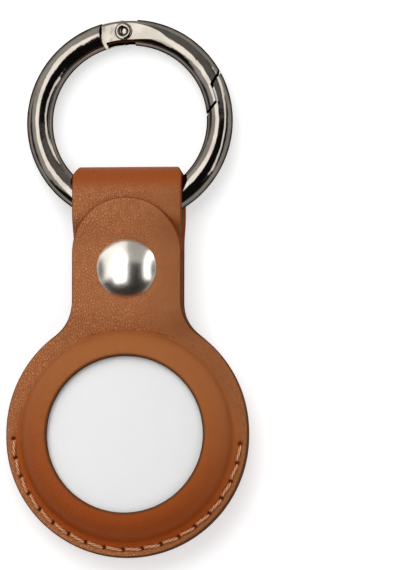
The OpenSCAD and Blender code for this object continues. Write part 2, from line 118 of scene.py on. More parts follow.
def grid_faces(rows, columns, wrap_rows, wrap_columns):
    """Corner numbers of every four-sided face between neighbours on a grid."""
    i = np.arange(rows if wrap_rows else rows - 1)[:, None]
    j = np.arange(columns if wrap_columns else columns - 1)[None, :]
    i2, j2 = (i + 1) % rows, (j + 1) % columns
    corners = (i * columns + j, i2 * columns + j, i2 * columns + j2, i * columns + j2)
    return np.stack([c.ravel() for c in np.broadcast_arrays(*corners)], axis=1)


def surface(name, points, wrap_rows=False, wrap_columns=False, **attributes):
    """A mesh from grids of points in millimetres: the last three axes are rows, columns and xyz."""
    rows, columns = points.shape[-3:-1]
    stack = points.reshape(-1, rows * columns, 3)
    faces = grid_faces(rows, columns, wrap_rows, wrap_columns)
    faces = (faces[None] + (np.arange(len(stack)) * rows * columns)[:, None, None]).reshape(-1, 4)
    mesh = bpy.data.meshes.new(name)
    mesh.from_pydata((stack.reshape(-1, 3) * MM).tolist(), [], faces.tolist())
    for key, values in attributes.items():
        kind = "FLOAT_VECTOR" if values.shape == points.shape else "FLOAT"
        field = "vector" if kind == "FLOAT_VECTOR" else "value"
        layer = mesh.attributes.new(key, kind, "POINT")
        layer.data.foreach_set(field, np.ascontiguousarray(values, np.float32).ravel())
    shape = bmesh.new()
    shape.from_mesh(mesh)
    bmesh.ops.remove_doubles(shape, verts=shape.verts, dist=SAME_POINT_M)
    bmesh.ops.recalc_face_normals(shape, faces=shape.faces)
    shape.to_mesh(mesh)
    shape.free()
    mesh.shade_smooth()
    piece = bpy.data.objects.new(name, mesh)
    bpy.context.scene.collection.objects.link(piece)
    print(name, len(mesh.polygons), "faces")
    return piece


def smooth_step(start, end, x):
    """0 before start, 1 after end, and level at both: three t squared less two t cubed."""
    t = np.clip((x - start) / (end - start), 0, 1)
    return t * t * (3 - 2 * t)


def bump_at(distance, width):
    """1 at the middle and 0 far off: the bell curve of that width."""
    return np.exp(-((distance / width) ** 2))


# %% [markdown]
# ## The moulded cup
#
# Each round panel is pressed over the tag. Its section is a flat band by the window, a bend round
# the tag's shoulder, a steep wall, and a small bend at the foot where the sewn rim starts. It could
# be sculpted, but as a function of the radius it is only two arcs and a straight line between them,
# and one function serves both faces.

# %% Height of the cup over the radius
WINDOW_R = 12.9
EDGE = 0.36
BEND_R, BEND_Z = 13.55, 1.3
FOOT_R, FOOT_Z = 18.134, 2.1
WALL_ANGLE = np.radians(68)
crown_bend = CROWN - BEND_Z
foot_bend = FOOT_Z - LEATHER / 2


def cup_height(r):
    """Middle of the leather over the seam: band, arc of the crown, wall, arc of the foot, rim."""
    top_r = BEND_R + crown_bend * np.sin(WALL_ANGLE)
    top_z = BEND_Z + crown_bend * np.cos(WALL_ANGLE)
    low_r = FOOT_R - foot_bend * np.sin(WALL_ANGLE)
    low_z = FOOT_Z - foot_bend * np.cos(WALL_ANGLE)
    crown = BEND_Z + np.sqrt(np.maximum(crown_bend**2 - np.maximum(r - BEND_R, 0) ** 2, 0))
    wall = top_z + (low_z - top_z) * (r - top_r) / (low_r - top_r)
    foot = FOOT_Z - np.sqrt(np.maximum(foot_bend**2 - np.minimum(r - FOOT_R, 0) ** 2, 0))
    return np.where(r < top_r, crown, np.where(r < low_r, wall, foot))


def cup_radii(count):
    """Radii from the window's rounded edge to just past the foot, at even steps of the section."""
    past_foot, samples = 0.1, 2000
    r = np.linspace(WINDOW_R + EDGE, FOOT_R + past_foot, samples)
    along = np.concatenate([[0], np.cumsum(np.hypot(np.diff(r), np.diff(cup_height(r))))])
    return np.interp(np.linspace(0, along[-1], count), along, r)


print("cup", round(float(cup_height(WINDOW_R)), 2), "mm high at the window and",
      round(float(cup_height(FOOT_R)), 2), "mm at its foot")

# %% [markdown]
# ## The outline of a panel
#
# Seen flat, a panel is a keyhole: the round pocket, a hollow fillet on each side, and a strap with
# straight sides. The leather is pulled towards the strap, so the pocket's upper half sits a little
# higher than a true circle's. The front one ends in a half circle. A drawn curve would do as well,
# but arcs that meet by rule stay tangent when a size changes. Dense points along these arcs are
# sampled again, closer together where the stitches dimple the leather.


# %% Keyhole outlines
FILLET_R = 6.8
SHOULDER_RISE = 0.6


def arc(centre, radius, start, end, count=240):
    """Points on an arc, with angles in degrees from +X."""
    a = np.radians(np.linspace(start, end, count))
    return np.stack([centre[0] + radius * np.cos(a), centre[1] + radius * np.sin(a)], axis=1)


def both_sides(right_half):
    """The right half of an outline from bottom to top, and its mirror image back down."""
    left = right_half[::-1] * [-1, 1]
    return np.concatenate([right_half, left])


def keyhole(end_arc):
    """Two halves of the pocket's circle, a fillet and the strap's side, closed by the end's arc."""
    x, r = HALF_W + FILLET_R, POCKET_R + FILLET_R
    rise = np.sqrt(r**2 - x**2)
    touch = np.degrees(np.arctan2(rise, x))
    y = rise + SHOULDER_RISE
    side = np.linspace([HALF_W, y], end_arc[0], 160)
    half = [arc((0, 0), POCKET_R, -90, 0, 400), arc((0, SHOULDER_RISE), POCKET_R, 0, touch, 200),
            arc((x, y), FILLET_R, touch + 180, 180), side]
    return both_sides(np.concatenate(half + [end_arc]))


def resample(outline, count, closeness):
    """Points along a closed outline, spaced by one over their closeness, and outward directions."""
    closed = np.concatenate([outline, outline[:1]])
    step = np.hypot(*np.diff(closed, axis=0).T)
    moved = step > 1e-6
    closed, step = closed[np.concatenate([[True], moved])], step[moved]
    middle = (closed[1:] + closed[:-1]) / 2
    along = np.concatenate([[0], np.cumsum(step * closeness(middle))])
    at = np.linspace(0, along[-1], count, endpoint=False)
    points = np.stack([np.interp(at, along, closed[:, k]) for k in (0, 1)], axis=1)
    ahead, behind = np.roll(points, -1, axis=0), np.roll(points, 1, axis=0)
    outward = np.stack([(ahead - behind)[:, 1], -(ahead - behind)[:, 0]], axis=1)
    return points, outward / np.linalg.norm(outward, axis=1, keepdims=True)


tip_y = TONGUE_END - HALF_W
front_outline = keyhole(arc((0, tip_y), HALF_W, 0, 90))
print("front outline:", len(front_outline), "points")

# %% [markdown]
# ## Leather as a closed sheet
#
# Real leather has a thickness and an edge, and here the edge is rounded and painted dark. The
# sheet's section is a closed loop of rows: out along the grain side, round the outer edge, back
# along the flesh side, and round the edge of the hole. A row's plan points lie on lines from the
# hole to the outline. A map then puts each plan point in space, and its normal gives the thickness.
# A Solidify modifier gives a wall too, but with square edges and without a colour of their own.


# %% Middle surface of a sheet
SMALL_STEP = 0.01


def sheet_frame(place, plan, side):
    """Points of the middle surface, and its unit normals from a small step along x and along y."""
    point = place(plan)
    along_x = place(plan + [SMALL_STEP, 0]) - place(plan - [SMALL_STEP, 0])
    along_y = place(plan + [0, SMALL_STEP]) - place(plan - [0, SMALL_STEP])
    normal = side * np.cross(along_x, along_y)
    return point, normal / np.linalg.norm(normal, axis=-1, keepdims=True)


# %% [markdown]
# Round an edge the section turns from the grain's side to the flesh's side in ten rows. The two
# that are next to each other at 90 degrees are the ends of the straight part between the rounded
# corners. The sheet also keeps values at each point, which the finish reads later: the place on
# the flat cut, with how deep in the sheet it lies, and how far the point is painted, moulded or
# pierced.

# %% A closed sheet of leather
EDGE_TURN = np.radians(np.array([15, 35, 55, 75, 90, 90.001, 105, 125, 145, 165]))
EDGE_DEPTH, FLESH_DEPTH = 0.4, 3.0


def leather_sheet(name, place, side, centre, radii, outline, outward, rows, relief, stretched):
    """A closed sheet: place maps plan to space, side is 1 where the grain faces up and -1 down."""
    rim = outline - EDGE * outward
    ray = rim - centre
    angle = np.arctan2(ray[:, 1], ray[:, 0])
    spoke = np.stack([np.cos(angle), np.sin(angle)], axis=1)
    inner = centre + radii[:, None, None] * spoke

    def plan_rows(inner_step, outer_count):
        """Rows over the given radii, and then in even steps out to the rim."""
        share = np.linspace(0, 1, outer_count + 1)[1:, None, None]
        near = inner[::inner_step]
        return np.concatenate([near, near[-1] + share * (rim - near[-1])])

    def edge_rows(plan, direction, turn):
        """Rows round an edge: two rounded corners with a straight part between them."""
        point, normal = sheet_frame(place, plan, side)
        reach = (place(plan + SMALL_STEP * direction) - point) / SMALL_STEP
        flat = (LEATHER / 2 - EDGE) * np.sign(np.cos(turn))[:, None, None]
        lift = flat + EDGE * np.cos(turn)[:, None, None]
        out = EDGE * np.sin(turn)[:, None, None]
        return point + lift * normal + out * reach, plan + out * direction

    grain, flesh = plan_rows(1, rows), plan_rows(2, rows // 2)[::-1]
    top_point, top_normal = sheet_frame(place, grain, side)
    low_point, low_normal = sheet_frame(place, flesh, side)
    top = top_point + (LEATHER / 2 - relief(grain))[..., None] * top_normal
    low = low_point - LEATHER / 2 * low_normal
    outer, outer_plan = edge_rows(rim, outward, EDGE_TURN)
    window, window_plan = edge_rows(inner[0], -spoke, np.pi - EDGE_TURN)
    points = np.concatenate([top, outer, low, window])
    plan = np.concatenate([grain, outer_plan, flesh, window_plan])

    def for_rows(on_edge, on_flesh):
        """One value for each row: 0 on the grain, and these on the edges and on the flesh side."""
        values = [np.zeros(len(top)), on_edge, np.full(len(low), on_flesh), on_edge]
        return np.broadcast_to(np.concatenate(values)[:, None], plan.shape[:2])

    painted = for_rows(np.sin(EDGE_TURN), 0.0)
    depth = for_rows(np.sin(EDGE_TURN) * EDGE_DEPTH, FLESH_DEPTH)
    flat = np.concatenate([plan, depth[..., None]], axis=2)
    return surface(name, points, True, True, flat=flat, painted=painted,
                   moulded=stretched(plan), pierced=pierced_share(plan))


# %% [markdown]
# ## The seam's holes
#
# Nineteen needle holes follow the lower half of the rim. The thread pulls the leather down into a
# shallow channel, and deeper at each hole. Holes could be cut with a Boolean, but leather closes
# round its thread, so a dimple is nearer to the real thing. The same distances, kept on the mesh as
# attributes, let the finish paint shade into the holes and darken the stretched leather.

# %% Needle holes
STITCH_R, STITCH_START, STITCH_STEP, STITCHES = 18.75, 181.0, 9.7, 18
CHANNEL_DEPTH, CHANNEL_WIDTH, CHANNEL_FADE = 0.12, 0.42, 0.08
HOLE_DEPTH, HOLE_WIDTH, HOLE_SHADE_WIDTH = 0.4, 0.34, 0.38
SEAM_TOP_Y, CLOSER = 1.5, 2.2
hole_angles = np.radians(STITCH_START + STITCH_STEP * np.arange(STITCHES + 1))
hole_places = STITCH_R * np.stack([np.cos(hole_angles), np.sin(hole_angles)], axis=1)


def hole_distance(plan):
    """Distance to the nearest needle hole."""
    angle = np.arctan2(-plan[..., 1], -plan[..., 0]) + np.pi
    steps = np.round((angle - hole_angles[0]) / np.radians(STITCH_STEP))
    nearest = hole_angles[0] + np.radians(STITCH_STEP) * np.clip(steps, 0, STITCHES)
    away = plan - STITCH_R * np.stack([np.cos(nearest), np.sin(nearest)], axis=-1)
    return np.linalg.norm(away, axis=-1)


def channel_share(plan):
    """1 in the groove along the stitches, fading out past the last hole at each end."""
    r = np.linalg.norm(plan, axis=-1)
    angle = np.arctan2(plan[..., 1], plan[..., 0]) % (2 * np.pi)
    ends = smooth_step(hole_angles[0] - CHANNEL_FADE, hole_angles[0], angle)
    ends = ends * (1 - smooth_step(hole_angles[-1], hole_angles[-1] + CHANNEL_FADE, angle))
    return bump_at(r - STITCH_R, CHANNEL_WIDTH) * ends


def pocket_relief(plan):
    """How far the grain side sinks, in mm: a little in the channel and more in a needle hole."""
    dimple = HOLE_DEPTH * bump_at(hole_distance(plan), HOLE_WIDTH)
    return CHANNEL_DEPTH * channel_share(plan) + dimple


def pierced_share(plan):
    """1 inside a needle hole, where the finish paints shade."""
    return bump_at(hole_distance(plan), HOLE_SHADE_WIDTH)


def near_stitches(points):
    """Closeness of outline points: denser along the stitched half."""
    return np.where(points[:, 1] < SEAM_TOP_Y, CLOSER, 1.0)


print(len(hole_places), "needle holes, first at", hole_places[0].round(2))

# %% Moulded leather
MOULDED_R, MOULDED_FADE, NECK_SHORTER, NECK_Y = 18.0, 1.4, 1.4, (-2, 10)
LOOP_STARTS, LOOP_ENDS = (37, 40), (50, 52)


def moulded_share(plan):
    """1 where the leather is stretched over the tag, and 0 on the rim and the strap."""
    start = MOULDED_R - NECK_SHORTER * smooth_step(*NECK_Y, plan[..., 1])
    return 1 - smooth_step(start, start + MOULDED_FADE, np.linalg.norm(plan, axis=-1))


def folded_share(plan):
    """The same for the back sheet, whose strap is stretched round the key ring as well."""
    run = plan[..., 1]
    round_ring = smooth_step(*LOOP_STARTS, run) * (1 - smooth_step(*LOOP_ENDS, run))
    return np.maximum(moulded_share(plan), round_ring)


print("moulded out to", MOULDED_R, "mm, and round the key ring from", LOOP_STARTS[0], "mm")

# %% [markdown]
# ## Front leather
#
# Window panel and tongue are one sheet. Past the cup it climbs to the height of the snap, and once
# more over the folded loop. The cup and the climb are joined by a power mean, which leaves each as
# it is where it stands alone and makes a soft saddle where they meet, as pulled leather does. The
# larger of the two would leave a hard crease there.

# %% Front leather
RIM = LEATHER / 2
NECK = TONGUE_Z - SEAM_Z
TIP = TONGUE_TIP_Z - SEAM_Z
CLIMB_FROM, CLIMB_TO = 15.4, 21.4
LOOP_FOOT_Y, LOOP_FULL_Y = 30.5, 37.5
FLAT_BY_CAP, FREE_OF_CAP = CAP_R - 0.6, CAP_R + 1.6
SWELL, SWELL_FROM_CAP, SWELL_WIDTH = 0.1, 0.9, 0.8


def saddle(cup, climb):
    """Cup and climb over the rim's height, joined as the cube root of the sum of their cubes."""
    return RIM + np.cbrt(np.maximum(cup - RIM, 0) ** 3 + (climb - RIM) ** 3)


def front_place(plan):
    """Plan to space: cup about the tag, then up to the snap, then up over the folded loop."""
    x, y = plan[..., 0], plan[..., 1]
    climb = RIM + (NECK - RIM) * smooth_step(CLIMB_FROM, CLIMB_TO, y)
    beyond_cap = smooth_step(FLAT_BY_CAP, FREE_OF_CAP, np.hypot(x, y - SNAP_Y))
    climb = climb + (TIP - NECK) * smooth_step(LOOP_FOOT_Y, LOOP_FULL_Y, y) * beyond_cap
    z = saddle(cup_height(np.hypot(x, y)), climb)
    return np.stack([x, y, SEAM_Z + z], axis=-1)


def front_relief(plan):
    """The seam's relief, with a slight swell round the cap where the snap squeezes the leather."""
    from_cap = np.hypot(plan[..., 0], plan[..., 1] - SNAP_Y)
    return pocket_relief(plan) - SWELL * bump_at(from_cap - CAP_R - SWELL_FROM_CAP, SWELL_WIDTH)


points, outward = resample(front_outline, 460, near_stitches)
front_leather = leather_sheet("front_leather", front_place, 1, (0, 0), cup_radii(26),
                              points, outward, 44, front_relief, moulded_share)
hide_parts("front_panel", "front_tongue")
metres(0, 16.6, SEAM_Z)
metres(0, 20.6, SEAM_Z)
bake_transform(front_leather)

# %% [markdown]
# ## Back leather and the loop
#
# The back panel's strap runs on round the key ring and comes back on top, so it is cut longer. Its
# plan is the flat cut, and the strap's plan distance is carried along a side view path: level, then
# a ramp to the ring, a half circle round it, and a ramp down to the folded leg. A Curve modifier
# would bend a flat strap in the same way, but here the pocket and the strap are one sheet.

# %% Path of the strap
BACK_Z = 2 * SEAM_Z - TONGUE_Z
FOLD_Y = FOLD_END - FOLD_R - LEATHER / 2
LEG_FROM = 33.2
STRAP_FROM, STRAP_TO = CLIMB_TO, LEG_FROM - EDGE
UNDER_RAMP_FROM, OVER_RAMP_FROM, RAMPS_TO = 31.6, 31.8, 36.6


def under_height(y):
    """Middle of the leather below: level at the back, then a soft step to the fold's lower side."""
    return BACK_Z + (LOOP_Z - FOLD_R - BACK_Z) * smooth_step(UNDER_RAMP_FROM, RAMPS_TO, y)


def over_height(y):
    """Middle of the leather above: level at the snap, then a soft step to the fold's upper side."""
    return LEG_Z + (LOOP_Z + FOLD_R - LEG_Z) * smooth_step(OVER_RAMP_FROM, RAMPS_TO, y)


out_y = np.linspace(STRAP_FROM, FOLD_Y, 120)
turn = np.radians(np.linspace(-90, 90, 90))
home_y = np.linspace(FOLD_Y, STRAP_TO, 90)
out = np.stack([out_y, under_height(out_y)], axis=1)
fold = np.stack([FOLD_Y + FOLD_R * np.cos(turn), LOOP_Z + FOLD_R * np.sin(turn)], axis=1)
home = np.stack([home_y, over_height(home_y)], axis=1)
strap_path = np.concatenate([out, fold[1:], home[1:]])
strap_run = STRAP_FROM + np.concatenate([[0], np.cumsum(np.hypot(*np.diff(strap_path, axis=0).T))])
print("the strap's flat cut ends", round(float(strap_run[-1]), 1), "mm from the pocket's centre")


# %% Back leather
WAIST = 0.075
WAIST_FROM, WAIST_TO = FOLD_END - 1.9, FOLD_END - 0.6


def back_place(plan):
    """Plan to space: the cup upside down, and past the neck the strap's path with a slight waist."""
    x, run = plan[..., 0], plan[..., 1]
    path_y = np.interp(run, strap_run, strap_path[:, 0])
    path_z = np.interp(run, strap_run, strap_path[:, 1])
    climb = RIM + (SEAM_Z - BACK_Z - RIM) * smooth_step(CLIMB_FROM, CLIMB_TO, run)
    pocket_z = SEAM_Z - saddle(cup_height(np.hypot(x, run)), climb)
    on_strap = run > STRAP_FROM
    y = np.where(on_strap, path_y, run)
    z = np.where(on_strap, path_z, pocket_z)
    pulled_in = 1 - WAIST * smooth_step(WAIST_FROM, WAIST_TO, y)
    return np.stack([x * pulled_in, y, z], axis=-1)


strap_end = np.linspace([HALF_W, strap_run[-1]], [0, strap_run[-1]], 60)
points, outward = resample(keyhole(strap_end), 430, near_stitches)
back_leather = leather_sheet("back_leather", back_place, -1, (0, 0), cup_radii(26),
                             points, outward, 76, pocket_relief, folded_share)
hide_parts("back_panel", "strap_loop")
metres(0, 36.6, LOOP_Z)
metres(0, 42.6, LOOP_Z)
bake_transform(back_leather)

# %% [markdown]
# ## Folded leg
#
# The strap's last stretch lies under the tongue and carries the snap's stud. It is cut with a round
# end and a hole for the stud. It is one sheet with the strap on the real holder. Here it is its own
# piece, and its rounded top end is hidden in the strap's own end, so no groove shows between them.

# %% Folded leg
STUD_R, BY_STUD = 3.84, 0.6
leg_tip, leg_top = leg_low[1] + HALF_W, STRAP_TO + 2 * EDGE


def leg_place(plan):
    """Plan to space: level at the snap, then up along the loop."""
    x, y = plan[..., 0], plan[..., 1]
    return np.stack([x, y, over_height(y)], axis=-1)


def nowhere(plan):
    """0 at every point: no relief, and nothing moulded."""
    return np.zeros(plan.shape[:-1])


leg_side = np.linspace([HALF_W, leg_tip], [HALF_W, leg_top], 80)
leg_end = np.linspace([HALF_W, leg_top], [0, leg_top], 60)
leg_half = np.concatenate([arc((0, leg_tip), HALF_W, -90, 0), leg_side, leg_end])
points, outward = resample(both_sides(leg_half), 220, lambda p: np.ones(len(p)))
hole_radii = np.array([STUD_R + EDGE, STUD_R + BY_STUD])
folded_leg = leather_sheet("folded_leg_leather", leg_place, 1, (0, SNAP_Y), hole_radii,
                           points, outward, 18, nowhere, nowhere)
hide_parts("strap_return")
metres(0, 33.2, LEG_Z)
metres(0, 30.4, LEG_Z)
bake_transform(folded_leg)

# %% [markdown]
# ## Stitches
#
# Sewing thread is three strands twisted together. A stitch is a tube that leaves one hole, lies on
# the leather and enters the next: its ends dive into the holes, and between them it rides on the
# leather. Its section is a circle with three lobes, and the lobes turn as they go along, which is
# all that a twist is. Three real strands would need three times the faces.

# %% Stitches
THREAD_R = 0.27
TWIST_LENGTH = 1.1
STITCH_SHARE, SLANT = 0.78, 0.12
DIVE, RIDE, DIVE_POWER = 0.42, 0.62, 0.34
STRANDS, LOBE, END_STEEPNESS = 3, 0.13, 12


def stitch_paths(side, u):
    """Middle lines: along the seam's circle with a slant, as high as a small power of a sine."""
    along = 0.5 + (u - 0.5) * STITCH_SHARE
    angle = hole_angles[:-1, None, None] + np.radians(STITCH_STEP) * along
    radius = STITCH_R + SLANT * (u - 0.5) * 2
    rise = np.sin(np.pi * u) ** DIVE_POWER
    height = LEATHER - DIVE + (DIVE + THREAD_R * RIDE) * rise
    line = (radius * np.cos(angle), radius * np.sin(angle), SEAM_Z + side * height)
    return np.stack(np.broadcast_arrays(*line), axis=-1)[:, :, 0]


def stitches(side):
    """Grids of a face's stitches: a lobed circle carried along each path, turning as it goes."""
    u = np.linspace(0, 1, 34)[None, :, None]
    path = stitch_paths(side, u)
    ahead = np.gradient(path, axis=1)
    ahead /= np.linalg.norm(ahead, axis=-1, keepdims=True)
    across = np.cross(ahead, [0, 0, 1.0])
    across /= np.linalg.norm(across, axis=-1, keepdims=True)
    up = np.cross(across, ahead)
    length = np.radians(STITCH_STEP) * STITCH_R * u
    round_it = np.linspace(0, 2 * np.pi, 18, endpoint=False)[None, None]
    lobes = np.cos(STRANDS * (round_it - 2 * np.pi * length / TWIST_LENGTH / STRANDS))
    closed_ends = np.clip(np.sin(np.pi * u) * END_STEEPNESS, 0, 1)
    size = THREAD_R * (1 - LOBE + LOBE * lobes) * closed_ends
    points = (path[:, :, None] + (size * np.cos(round_it))[..., None] * across[:, :, None]
              + (size * np.sin(round_it))[..., None] * up[:, :, None])
    return points, np.broadcast_to(lobes, points.shape[:-1])


faces = [stitches(side) for side in (1, -1)]
thread = surface("seam_stitches", np.concatenate([f[0] for f in faces]), False, True,
                 lobes=np.concatenate([f[1] for f in faces]))
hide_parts("seam_thread")
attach(thread, "holder")

# %% [markdown]
# ## Turned metal
#
# The snap's cap and the gate's rivet are bodies of revolution. A profile in radius and height is
# turned about an axis, which the Spin operator does too, but a formula needs no clean-up after it.
# Profiles here are closed loops, so each piece has a wall. The frame already has both pieces as
# solids, and these only add the smooth dome with its rolled rim and the rivet's soft edges.


# %% Revolved pieces
def turned(name, profile, centre, axis, count=160):
    """A closed profile turned about an axis: centre, plus radius outwards, plus height along it."""
    axis = np.array(axis) / np.linalg.norm(axis)
    side = np.cross(axis, [1.0, 0, 0])
    side /= np.linalg.norm(side)
    a = np.linspace(0, 2 * np.pi, count, endpoint=False)[None, :, None]
    r, height = profile[:, 0, None, None], profile[:, 1, None, None]
    spoke = np.cos(a) * side + np.sin(a) * np.cross(axis, side)
    return surface(name, np.array(centre) + r * spoke + height * axis, True, True)


def arc_profile(centre, radius, start, end, count):
    """Profile points on an arc, with angles in degrees from straight up, turning outwards."""
    a = np.radians(np.linspace(start, end, count))
    return np.stack([centre[0] + radius * np.sin(a), centre[1] + radius * np.cos(a)], axis=1)


# %% Snap cap
CAP_SINK, ROLL_R, CAP_WALL, INNER_SHORTER = 0.1, 0.2, 0.35, 3
cap_seat = TONGUE_Z + LEATHER / 2 - CAP_SINK
cap_h = cap_high[2] - cap_seat
inner_r, inner_h = CAP_R - ROLL_R, cap_h - ROLL_R
dome_r = (inner_r**2 + inner_h**2 - ROLL_R**2) / (2 * (inner_h - ROLL_R))
dome_z = cap_high[2] - dome_r
dome_end = np.degrees(np.arcsin(inner_r / (dome_r - ROLL_R)))
cap_profile = np.concatenate([
    arc_profile((0, dome_z), dome_r, 0, dome_end, 40),
    arc_profile((inner_r, cap_seat + ROLL_R), ROLL_R, dome_end, 180, 12)[1:],
    arc_profile((0, dome_z), dome_r - CAP_WALL, dome_end - INNER_SHORTER, 0, 24)])
print("dome's radius", round(float(dome_r), 2), "mm")
snap_cap = turned("cap_dome", cap_profile, (0, SNAP_Y, 0), (0, 0, 1))
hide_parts("snap_cap")
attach(snap_cap, "tongue")

# %% [markdown]
# The gate turns on a rivet. A punch with a round nose has pressed a bowl into each head, and its
# shoulder is rounded. One half of the profile is written, and its mirror image makes the other.

# %% Gate rivet
gate_hinge = next(joint for joint in frame["joints"] if joint["name"] == "gate_hinge")
rivet_at = np.array(gate_hinge["pos_m"]) / MM
SHANK_R, HEAD_R, HEAD_FROM, HEAD_TO = 0.8, 1.45, 1.7, 2.05
FACE_R, BOWL_R, BOWL_DEPTH, SHOULDER_SHARE, CORNER = 1.02, 0.8, 0.45, 0.85, 0.05
shoulder, fall = HEAD_R - FACE_R, (HEAD_TO - HEAD_FROM) * SHOULDER_SHARE
bowl = np.linspace(1, 0, 22)
shoulder_turn = np.radians(np.linspace(90, 0, 10))
upper_half = np.concatenate([
    [[SHANK_R, 0.0], [SHANK_R, HEAD_FROM], [HEAD_R - CORNER, HEAD_FROM]],
    np.stack([HEAD_R - shoulder + shoulder * np.sin(shoulder_turn),
              HEAD_TO - fall * (1 - np.cos(shoulder_turn))], axis=1),
    np.stack([BOWL_R * bowl, HEAD_TO - BOWL_DEPTH * (1 - bowl**4)], axis=1)])
rivet_profile = np.concatenate([upper_half[::-1], upper_half[1:] * [1, -1]])
rivet = turned("rivet_heads", rivet_profile, rivet_at, gate_hinge["axis"], 96)
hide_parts("gate_rivet")
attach(rivet, "key_ring")

# %% [markdown]
# ## Shader maths as Python
#
# A finish is a sum of small rules, such as painted shade in the creases and painted light on the
# crests. One class wraps a node's output so that such a rule reads as arithmetic. Every other node
# comes from `node`, which takes its settings first and then the values or links of its sockets.


# %% Wires
class Wire:
    """One output of a shader node. Arithmetic on it adds the Math nodes that work it out."""

    def __init__(self, tree, socket):
        self.tree, self.socket = tree, socket

    def node(self, kind, settings, sockets, out=0):
        """Adds a node of any kind and gives one of its outputs."""
        made = self.tree.nodes.new(kind)
        for key, value in settings.items():
            setattr(made, key, value)
        for key, value in sockets.items():
            if isinstance(value, Wire):
                self.tree.links.new(value.socket, made.inputs[key])
            else:
                made.inputs[key].default_value = value
        return Wire(self.tree, made.outputs[out])

    def math(self, operation, *values):
        """A Math node on these numbers or wires."""
        return self.node("ShaderNodeMath", {"operation": operation}, dict(enumerate(values)))

    def __add__(self, other):
        return self.math("ADD", self, other)

    def __sub__(self, other):
        return self.math("SUBTRACT", self, other)

    def __rsub__(self, other):
        return self.math("SUBTRACT", other, self)

    def __mul__(self, other):
        return self.math("MULTIPLY", self, other)

    __radd__, __rmul__ = __add__, __mul__

    def step(self, start, end):
        """A soft step of this value from 0 to 1."""
        return self.node("ShaderNodeMapRange", {"interpolation_type": "SMOOTHSTEP"},
                         {0: self, 1: start, 2: end, 3: 0.0, 4: 1.0})

    def mix(self, colour, other):
        """colour where this value is 0, other where it is 1."""
        return self.node("ShaderNodeMix", {"data_type": "RGBA"}, {0: self, 6: colour, 7: other}, 2)

    def stretch(self, x, y, z):
        """This vector with each part multiplied."""
        return self.node("ShaderNodeVectorMath", {"operation": "MULTIPLY"}, {0: self, 1: (x, y, z)})

    def length(self):
        """Length of this vector."""
        return self.node("ShaderNodeVectorMath", {"operation": "LENGTH"}, {0: self}, "Value")

    def parts(self):
        """The x, y and z of this vector."""
        return [self.node("ShaderNodeSeparateXYZ", {}, {0: self}, part) for part in range(3)]

    def attribute(self, name, out="Fac"):
        """A value that is kept on the mesh, in this wire's material."""
        return self.node("ShaderNodeAttribute", {"attribute_name": name}, {}, out)

    def noise(self, scale, detail=2.0, roughness=0.5):
        """Cloudy noise over this vector, from 0 to 1."""
        return self.node("ShaderNodeTexNoise", {},
                         {"Vector": self, "Scale": scale, "Detail": detail, "Roughness": roughness})

    def cells(self, scale):
        """Distance to the walls between round cells over this vector."""
        return self.node("ShaderNodeTexVoronoi", {"feature": "DISTANCE_TO_EDGE"},
                         {"Vector": self, "Scale": scale}, "Distance")

    def bump(self, height, depth):
        """A normal that follows height, where 1 is depth metres high."""
        return self.node("ShaderNodeBump", {},
                         {"Strength": 1.0, "Distance": depth, "Height": height})

    def principled(self, **sockets):
        """A Principled shader that has these values or wires."""
        named = {key.replace("_", " "): value for key, value in sockets.items()}
        return self.node("ShaderNodeBsdfPrincipled", {}, named)

    def blend(self, shader, other):
        """One shader where this value is 0, another where it is 1."""
        return self.node("ShaderNodeMixShader", {}, {0: self, 1: shader, 2: other})


def tint(code, strength=1.0):
    """The linear colour of a six-figure screen colour."""
    part = np.array([int(code[i:i + 2], 16) for i in (0, 2, 4)]) / 255
    linear = np.where(part <= 0.04045, part / 12.92, ((part + 0.055) / 1.055) ** 2.4)
    return (*(linear * strength).tolist(), 1.0)


# %% Materials
def start_material(name):
    """An empty material and a wire of object coordinates in millimetres."""
    material = bpy.data.materials.new(name)
    material.use_nodes = True
    tree = material.node_tree
    tree.nodes.clear()
    place = Wire(tree, tree.nodes.new("ShaderNodeTexCoord").outputs["Object"])
    return material, place.stretch(1000, 1000, 1000)


def finish_material(material, shader):
    """Closes a material with this shader."""
    output = material.node_tree.nodes.new("ShaderNodeOutputMaterial")
    material.node_tree.links.new(shader.socket, output.inputs["Surface"])
    print(material.name, len(material.node_tree.nodes), "nodes")
    return material


# %% [markdown]
# ## Leather
#
# The leather has a printed grain of small pebbles with creases between them. A photographed texture
# would show it too, but noise and cells have no seams and no edge. Every pattern reads the flat
# cut, which is kept on the mesh, so that it stays put when the tongue bends. The pebbles are raised
# most on the left, where the photograph shows them.


# %% Grain of the leather
PRINTED_FROM_RIGHT, LIT_FROM_LEFT = (-8, 0), (-12, 4)


def grain_relief(flat, x):
    """Creases as deep as they are printed, and the height of pebbles and creases together."""
    drawn = flat.stretch(1.25, 0.85, 1.0)
    crease = 1 - drawn.cells(2.1).step(0.02, 0.24)
    print_depth = (x * -1).step(*PRINTED_FROM_RIGHT) * 0.5 + 0.2
    pebbles = (drawn.noise(3.0, 3.0, 0.6) * 0.5 - crease * 0.9) * print_depth
    return crease * print_depth, pebbles


def grained_colour(x, mottle, crease, grained, pulled, stretched):
    """Colour of the grain: painted lighter on the left and darker on the right, as light and shade,
    mottled at random, with painted shade in the creases.
    """
    # side is painted light and shade: the grain is lit on the left and shaded on the right.
    side = (x * -1).step(*LIT_FROM_LEFT)
    pale = (mottle * 0.3 + side * 0.7).step(0.15, 0.85)
    # A lit and a shaded copy of the grain's colour, mixed by the painted light and a random mottle.
    grain = pale.mix(tint(pulled, 0.58), tint(grained, 1.1))
    # Painted shade in the creases, strongest where the print is deepest.
    return (crease * 0.5).mix(grain, tint(stretched, 0.85))
